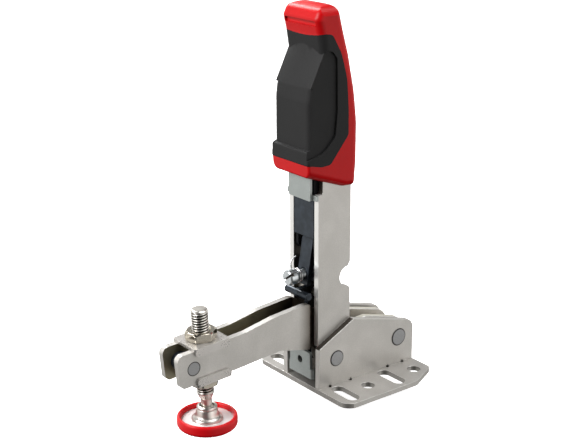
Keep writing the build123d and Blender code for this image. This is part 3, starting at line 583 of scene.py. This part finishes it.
# Painted shade on the cheeks' slanted edges, the handle plates' inner faces and upper front edges, and
# inside the arm's channel; painted highlight on the handle plates' lower front edges and the link
# plates' top edges.
for side, toward in SIDES:
    repaint_faces(side + "_cheek_skin", painted_shade_edge, lambda n, c: (n[:, 1] < -0.2) & (n[:, 2] > 0.4))
    repaint_faces(side + "_handle_plate_skin", painted_shade_inner_face, lambda n, c: n[:, 0] * toward > 0.5)
    repaint_faces(side + "_handle_plate_skin", painted_highlight_edge, lambda n, c: (n[:, 1] < -0.9) & (c[:, 2] < 96))
    repaint_faces(side + "_handle_plate_skin", painted_shade_edge, lambda n, c: (n[:, 1] < -0.5) & (c[:, 2] > 97))
    repaint_faces(side + "_arm_plate_skin", painted_shade_channel, lambda n, c: n[:, 0] * toward > 0.25)
    repaint_faces(side + "_link_plate_skin", painted_highlight_link_edge, lambda n, c: (n[:, 2] > 0.5) & (abs(n[:, 0]) < 0.3))
repaint_faces("base_plate_skin", sheared_edge, lambda n, c: (n[:, 1] < -0.3) & (abs(n[:, 2]) < 0.3))
# Painted shadow: the slide plate's sides and low faces and the carrier's sides are painted near black.
repaint_faces("slide_plate_skin", painted_shadow_black, lambda n, c: (abs(n[:, 0]) > 0.5) | (c[:, 2] < 74))
repaint_faces("carrier_skin", painted_shadow_black, lambda n, c: abs(n[:, 0]) > 0.5)

# %% [markdown]
# ## Spindle, nuts and their thread
# The spindle is an M8 rod whose thread is rolled, so its crests are bright and rounded. A thread is
# one line wound round the rod: the depth at any point depends only on how far its height and its
# angle together have gone along the pitch. The nuts are hexagons whose corners are turned off by a
# cone, which leaves a curved edge on each flat.


# %% The spindle's own frame
DROOP = np.radians(3.3)
ARM_POINT = np.array([0.0, -85.85, 30.75])
BALL_DROP = 27.195


def on_spindle(points):
    """Points from the spindle's frame, whose axis leans with the arm, to the clamp's in metres."""
    axis = np.array([0, -np.sin(DROOP), np.cos(DROOP)])
    across = np.array([0, np.cos(DROOP), np.sin(DROOP)])
    x, y, z = np.moveaxis(points, 2, 0)[..., None]
    return (ARM_POINT + x * np.array([1, 0, 0]) + y * across + z * axis) * MM


def thread(pitch, depth, start, stop, fade=0.9):
    """Ripple of a screw thread: a triangle wave of height/pitch - angle/turn with its tips cut off."""
    def ripple(height, angle):
        phase = np.mod(height / pitch - angle / (2 * np.pi), 1.0)
        wave = np.clip((np.abs(2 * phase - 1) - 0.14) / 0.66, 0, 1)
        ends = np.clip((height - start) / fade, 0, 1) * np.clip((stop - height) / fade + 0.25, 0, 1)
        return depth * wave * ends
    return ripple


# %% Spindle
PITCH, THREAD_DEPTH, THREAD_END = 1.25, 0.70, -17.3


def spindle():
    """Rows from the flat top down the thread, the cone and the neck to the ball's far pole."""
    neck, ball, low, columns = 2.6, 3.7, -BALL_DROP, 80
    rod = [(3.97, w) for w in np.arange(22.95, THREAD_END, -0.085)]
    sphere = [(ball * np.sin(a), low + ball * np.cos(a)) for a in np.pi - np.linspace(
        np.pi - np.arcsin(neck / ball), 0.02, 26)]
    profile = [(0.02, 23.5), (2.6, 23.5), (3.3, 23.49), (3.45, 23.44), (3.9, 23.0)] + rod
    profile += [(3.95, -17.4), (3.95, -17.9), (3.85, -18.05), (3.0, -20.0), (2.7, -20.5), (neck, -20.8)]
    profile += [(neck, w) for w in (-21.5, -22.5, -23.5, -24.2)] + sphere
    ripple = thread(PITCH, THREAD_DEPTH, THREAD_END, 22.5)
    points = on_spindle(turned(profile, columns, ripple))
    piece = grid_mesh("spindle_rod", points, close_v=True, caps=True)
    height = np.array(profile)[:, 1:]
    angle = np.linspace(0, 2 * np.pi, columns, endpoint=False)[None, :]
    depth = ripple(height, angle) / THREAD_DEPTH
    shade = piece.data.attributes.new("thread_depth", "FLOAT", "POINT")
    shade.data.foreach_set("value", np.concatenate([depth.ravel(), [0.0, 0.0]]))
    return piece


rod = seat(spindle(), "spindle", rolled_nickel)
print("spindle:", len(rod.data.vertices), "points, a thread of", PITCH, "mm pitch")


# %% Nuts
def nut(name, flats, height, seat_at, direction, turn):
    """Hexagon radius flats/2/cos(angle from the flat's middle); its ends cut by a 30 degree cone."""
    columns, bore, lead = 144, 4.03, 0.5
    angle = np.linspace(0, 2 * np.pi, columns, endpoint=False)
    off = np.mod(angle, np.pi / 3) - np.pi / 6
    reach = np.minimum(flats / 2 / np.cos(off), flats / 2 / np.cos(np.pi / 6) - 0.12)
    face = flats / 2 * 0.965
    drop = (reach - face) * np.tan(np.radians(30))
    one = np.ones(columns)
    lower = [(bore * one, 0.45 * one), ((bore + lead) * one, 0 * one),
             (face * one, 0 * one), (reach, drop)]
    rows = lower + [(r, height - h) for r, h in lower[::-1]]
    radius = np.array([r for r, _ in rows])
    tall = np.array([h for _, h in rows])
    around = angle + np.radians(turn)
    points = np.stack([radius * np.cos(around), radius * np.sin(around),
                       seat_at + direction * tall], axis=2)
    if direction < 0:
        points = points[::-1]
    piece = grid_mesh(name, on_spindle(points), close_u=True, close_v=True)
    round_edges(piece, 0.09, 2, 18)
    return piece


NUT_SEAT = 9.3
seat(nut("upper_nut_hexagon", 13.0, 4.2, NUT_SEAT, 1, 8), "upper_nut", nut_nickel)
seat(nut("lower_nut_hexagon", 12.0, 4.1, -NUT_SEAT, -1, 20), "lower_nut", nut_nickel)
print("nuts seated at", NUT_SEAT, "mm above and below the arm's middle")

# %% [markdown]
# ## Foot
# The foot is turned from bar: a thick rim round the ball, a straight collar that flares into a skirt,
# and a thin disc that the red soft cup grips. Both are profiles turned about an upright axis.


# %% Turned foot and its cup
FOOT_AT = np.array([0.0, ARM_POINT[1] + BALL_DROP * np.sin(DROOP), 0.0])


def upright(points):
    """Points turned about the foot's upright axis, in metres."""
    return (points + FOOT_AT) * MM


def turned_foot():
    """Closed profile from the socket's floor out over the disc and up the collar to the rim."""
    disc = [(0.02, -1.38), (12.0, -1.38), (12.0, -0.5), (7.15, -0.5)]
    skirt = [(7.15, 0.35), (6.6, 0.95), (5.75, 1.5), (5.35, 2.3), (4.7, 4.85)]
    rim = [(4.35, 4.95), (4.35, 5.1), (4.75, 5.2), (4.78, 5.7), (4.5, 6.3), (3.9, 6.56), (3.45, 6.5)]
    socket = [(3.4, 5.9), (3.7, 5.0), (3.82, 3.6), (3.3, 1.75), (1.8, 0.3), (0.02, -0.1)]
    points = upright(turned(rounded(disc + skirt + rim + socket, 0.35, 5), 120))
    return grid_mesh("turned_foot", points, close_v=True, caps=True)


def soft_cup():
    """Cup: flat sole, full round wall and a lip that closes over the disc's edge."""
    wall = [(0.02, -3.78), (13.0, -3.78), (13.98, -2.6), (13.98, 0.8), (13.5, 1.62), (12.6, 1.68)]
    lip = [(12.05, 1.1), (11.85, -0.1), (11.95, -0.45), (12.0, -1.4), (0.02, -1.4)]
    points = upright(turned(rounded(wall + lip, 0.7, 6), 144))
    return grid_mesh("soft_cup", points, close_v=True, caps=True)


def outwards(piece):
    """Turn every face of a closed piece outwards."""
    work = bmesh.new()
    work.from_mesh(piece.data)
    bmesh.ops.recalc_face_normals(work, faces=work.faces)
    work.to_mesh(piece.data)
    work.free()
    return piece


seat(outwards(turned_foot()), "foot_plate", nickel)
repaint_faces("turned_foot", pale_nickel, lambda n, c: (n[:, 2] > 0.9) & (c[:, 2] < 0))
seat(outwards(soft_cup()), "foot_cap", red_cup)
print("foot stands at Y =", round(float(FOOT_AT[1]), 2), "mm")

# %% [markdown]
# ## Pressed rivets
# Each rivet is pressed nearly flush: a flat middle, a small rolled shoulder and a fine gap round it
# where the plate was pushed in. The gap's shade is painted by the material, as a dark ring worked out
# from the distance to the rivet's axis, because it is finer than a mesh should be.


# %% Rivets
def cross_rivet(name, node, centre, head, shank, face_x, rise):
    """Profile turned about an axis along X: both heads and the shank between them."""
    half = [(0.02, face_x + rise), (0.80 * head, face_x + rise), (0.93 * head, face_x + 0.75 * rise),
            (head, face_x + 0.02), (head, face_x), (shank, face_x)]
    profile = rounded(half + [(r, -x) for r, x in half[::-1]], 0.12, 3)
    height_becomes_x = [2, 0, 1]
    points = turned(profile, 72)[..., height_becomes_x]
    points[..., 1:] += np.array(centre)
    piece = outwards(grid_mesh(name, points * MM, close_v=True, caps=True))
    return seat(piece, node, pressed_head(name, centre, head))


def pressed_head(name, centre, head):
    """Rivet steel with painted shade: a fine dark ring where its distance from the axis nears the
    radius.
    """
    skin = Finish(name + "_steel")
    _, along, up = skin.split(skin.place)
    along, up = along - centre[0] * MM, up - centre[1] * MM
    distance = (along * along + up * up) ** 0.5 / (head * MM)
    # Painted shade of the gap round the head: a dark ring near the rim.
    ring = skin.clamp((distance - 0.82) * 9.0)
    fine = skin.grain(0.32, detail=2.0, roughness=0.6)
    blend = skin.clamp(fine * 1.4 - 0.2)
    face = skin.mix(blend, (0.25, 0.252, 0.258), (0.44, 0.443, 0.45))
    colour = skin.mix(ring, face, (0.045, 0.042, 0.04))
    return skin.set(Base_Color=colour, Metallic=0.75, Roughness=(fine - 0.5) * 0.25 + 0.42,
                    Normal=skin.bump(fine, 0.014))


CHEEK_FACE, ARM_FACE, TIP_REACH = 13.95, 7.65, 9.85
cross_rivet("arm_pivot_head", "arm_pivot_rivet", (-19.0, 16.0), 4.0, 3.5, CHEEK_FACE, 0.3)
cross_rivet("link_pivot_head", "link_pivot_rivet", (20.5, 16.4), 4.5, 4.3, CHEEK_FACE, 0.3)
TIP = ARM_POINT[1:] - TIP_REACH * np.array([np.cos(DROOP), np.sin(DROOP)])
cross_rivet("arm_end_head", "arm_end_rivet", tuple(TIP), 3.4, 3.38, ARM_FACE, 0.0)
print("arm's end rivet at", TIP.round(2), "mm in Y and Z")

# %% [markdown]
# ## The lock bar's spring
# A small spring is wound from hard wire behind the force screw's head, and its leg rises to lean on
# the lock bar's edge. It is a circle carried along a path: a helix first, then a cubic curve that
# leaves the helix and bends up. The circle is kept square to the path, so the wire stays round.


# %% Spring
SCREW_HEIGHT = 57.0


def wire(name, path, radius, columns=20):
    """Tube along a path: at each point a circle square to the path, set from the path's direction and
    the Y axis.
    """
    along = np.gradient(path, axis=0)
    along /= np.linalg.norm(along, axis=1)[:, None]
    side = np.cross(along, np.array([0.0, 1.0, 0.0]))
    side /= np.linalg.norm(side, axis=1)[:, None]
    other = np.cross(along, side)
    angle = np.linspace(0, 2 * np.pi, columns, endpoint=False)[None, :, None]
    ring = np.cos(angle) * side[:, None] + np.sin(angle) * other[:, None]
    return outwards(grid_mesh(name, (path[:, None] + radius * ring) * MM, close_v=True, caps=True))


def spring_path():
    """Helix (-r sin t, y, -r cos t) of 2.25 turns, then a curve bending up to the bar's edge."""
    turns, radius, start, length = 2.25, 3.3, -33.3, 2.4
    t = np.linspace(0, 2 * np.pi * turns, 200)
    coil = np.stack([-radius * np.sin(t), start + length * t / t[-1],
                     SCREW_HEIGHT - radius * np.cos(t)], axis=1)
    foot, tip = coil[-1], np.array([-4.9, -28.7, 64.6])
    knee, shoulder = np.array([-4.7, -32.6, 59.8]), np.array([-6.8, -32.0, 62.0])
    u = np.linspace(0, 1, 50)[1:, None]
    leg = ((1 - u) ** 3 * foot + 3 * u * (1 - u) ** 2 * knee +
           3 * u ** 2 * (1 - u) * shoulder + u ** 3 * tip)
    return np.concatenate([coil, leg])


seat(wire("spring_wire", spring_path(), 0.36), "lock_spring", spring_steel)
steps = np.diff(spring_path(), axis=0)
print("spring wire:", round(float(np.linalg.norm(steps, axis=1).sum()), 1), "mm long")

# %% [markdown]
# ## The force screw's head
# The slotted head is small and bright, and its slot is painted near black as painted shade. The frame's
# solid already has the slot, so its points are only drawn in towards the axis, and the slot's floor and
# walls get the painted shade. The walls are the faces that lie close to the slot's own middle plane.


# %% Screw head
def slotted_head(front, back, radius, slot_turn):
    """Screw whose head is drawn in to the radius, with painted shade, near black, on the walls and
    floor of its turned slot.
    """
    piece = dress("force_screw", screw_nickel, 0.15, segments=2)
    mesh = piece.data
    place = np.empty(len(mesh.vertices) * 3)
    mesh.vertices.foreach_get("co", place)
    place = place.reshape(-1, 3) / MM
    away = np.hypot(place[:, 0], place[:, 2] - SCREW_HEIGHT)
    head = (place[:, 1] < back + 0.05) & (away > 2.45)
    shrink = np.where(head, radius / away[head].max(), 1.0)
    place[:, 0] *= shrink
    place[:, 2] = SCREW_HEIGHT + (place[:, 2] - SCREW_HEIGHT) * shrink
    mesh.vertices.foreach_set("co", (place * MM).ravel())
    mesh.update()
    tilt = np.radians(slot_turn)

    def in_slot(n, c):
        aside = abs(c[:, 0] * np.sin(tilt) + (c[:, 2] - SCREW_HEIGHT) * np.cos(tilt))
        floor = (n[:, 1] < -0.9) & (c[:, 1] > front + 1.0)
        wall = (abs(n[:, 1]) < 0.3) & (aside < 0.8)
        return (floor | wall) & (c[:, 1] < front + 2.5)

    repaint_faces(piece.name, painted_shade_edge, in_slot)


HEAD_RADIUS, HEAD_THICKNESS, SLOT_TURN = 3.7, 4.2, -36
slotted_head(SCREW_FRONT, SCREW_FRONT + HEAD_THICKNESS, HEAD_RADIUS, SLOT_TURN)
print("force screw's head drawn in to a radius of", HEAD_RADIUS, "mm")

# %% [markdown]
# ## Floor, light and camera
# The clamp stands as for a catalogue: a pale floor that runs up into a pale wall, soft lights in
# front, above and high on the left, and a camera somewhat above the grip's middle. The walls of the
# room are pale to both sides and low behind, because bright plating shows little but what it mirrors.
# The floor lies below the foot's lowest place, so that it hides nothing when the spindle is wound down.


# %% Stage
FLOOR_Z = -13.2 * MM


def floor_profile(count=24):
    """Depth and height along the sweep: a flat run, then a quarter ellipse up to the wall."""
    turn = np.linspace(0.05, np.pi / 2, count)
    depth = np.concatenate([np.linspace(-9.0, 0.9, count), 0.9 + 0.8 * np.sin(turn)])
    height = np.concatenate([np.zeros(count), 0.9 * (1 - np.cos(turn))])
    return depth, height + FLOOR_Z


def paper_floor():
    """The floor profile carried across the view."""
    depth, height = floor_profile()
    back = np.array([-0.789, 0.614])
    across = np.array([0.614, 0.789])
    side = np.linspace(-8.0, 8.0, 12)
    ground = depth[:, None, None] * back + side[None, :, None] * across
    rise = np.repeat(height[:, None, None], len(side), axis=1)
    floor = grid_mesh("paper_floor", np.concatenate([ground, rise], axis=2))
    paper = Finish("paper")
    fibre = paper.grain(30.0)
    floor.data.materials.append(paper.set(
        Base_Color=paper.mix(fibre, (0.88, 0.88, 0.88), (0.90, 0.90, 0.90)), Roughness=0.9,
        Emission_Color=(1.0, 1.0, 1.0), Emission_Strength=0.9))
    floor.visible_glossy = False
    floor.visible_diffuse = False


paper_floor()
print("floor", round(FLOOR_Z / MM, 1), "mm from the base plate's underside")


# %% Lights
def soft_box(name, place, target, size, power, tone=(1, 1, 1)):
    """Square area light aimed at a point, sizes in metres."""
    light = bpy.data.lights.new(name, "AREA")
    light.shape = "RECTANGLE"
    light.size, light.size_y = size
    light.energy = power
    light.color = tone
    obj = bpy.data.objects.new(name, light)
    obj.location = place
    obj.rotation_euler = (Vector(target) - Vector(place)).to_track_quat("-Z", "Y").to_euler()
    bpy.context.scene.collection.objects.link(obj)


MIDDLE = (0, -0.02, 0.08)
soft_box("key_front_left", (-0.25, -0.95, 0.75), MIDDLE, (0.55, 0.55), 14)
soft_box("right_panel", (0.95, 0.25, 0.35), MIDDLE, (0.7, 0.9), 1.2)
soft_box("top", (0.15, 0.25, 1.1), MIDDLE, (0.8, 0.8), 8)
soft_box("high_left", (-0.85, 0.05, 0.85), MIDDLE, (0.35, 0.35), 6)
print("soft boxes:", [light.name for light in bpy.data.lights])


# %% Room
world = bpy.data.worlds.new("studio")
world.use_nodes = True


def studio_walls(low=0.05, side=1.0, rear=0.9):
    """Room brightness by direction: pale to both sides and low behind, dark ahead and high up."""
    room = Network(world.node_tree, "Generated")
    x, y, z = room.split(room.place)
    sideways = room.math("ABSOLUTE", x * 0.79 + y * 0.61)
    behind = y * 0.61 - x * 0.79
    flat = room.clamp(1.9 - room.math("ABSOLUTE", z) * 3.0)
    sides = room.clamp((sideways - 0.35) * 3.0) * flat * side
    wall = room.clamp((behind - 0.55) * 4.0) * room.clamp(z * 8.0) * room.clamp(2.0 - z * 3.6) * rear
    tone = room.clamp(sides + wall + low)
    back = world.node_tree.nodes["Background"]
    room.feed(back.inputs["Color"], room.mix(tone, (0, 0, 0), (1.0, 0.99, 0.965)))
    back.inputs["Strength"].default_value = 1.0


studio_walls()
bpy.context.scene.world = world
bpy.context.scene.view_settings.view_transform = "Standard"
print("room nodes:", len(world.node_tree.nodes))


# %% Camera
def set_camera():
    """Camera from its place, two aiming angles, a roll, and a focal length of 1266.8 to 588 wide."""
    azimuth, elevation, roll = np.radians([52.13, 18.21, -0.17])
    place = np.array([0.43657, -0.37324, 0.26624])
    level = np.cos(elevation)
    back = np.array([np.sin(azimuth) * level, -np.cos(azimuth) * level, np.sin(elevation)])
    right = np.array([np.cos(azimuth), np.sin(azimuth), 0.0])
    up = np.cross(back, right)
    rotation = np.column_stack([right, up, back])
    data = bpy.data.cameras.new("camera")
    data.sensor_fit = "HORIZONTAL"
    data.sensor_width = 36.0
    data.lens = 36.0 * 1266.8 / 588
    data.clip_start = 0.01
    obj = bpy.data.objects.new("camera", data)
    aim = Matrix(rotation.tolist()) @ Matrix.Rotation(roll, 3, "Z")
    obj.matrix_world = Matrix.Translation(place.tolist()) @ aim.to_4x4()
    bpy.context.scene.collection.objects.link(obj)
    bpy.context.scene.camera = obj


set_camera()
print("camera at", tuple(round(c, 3) for c in bpy.context.scene.camera.matrix_world.translation))
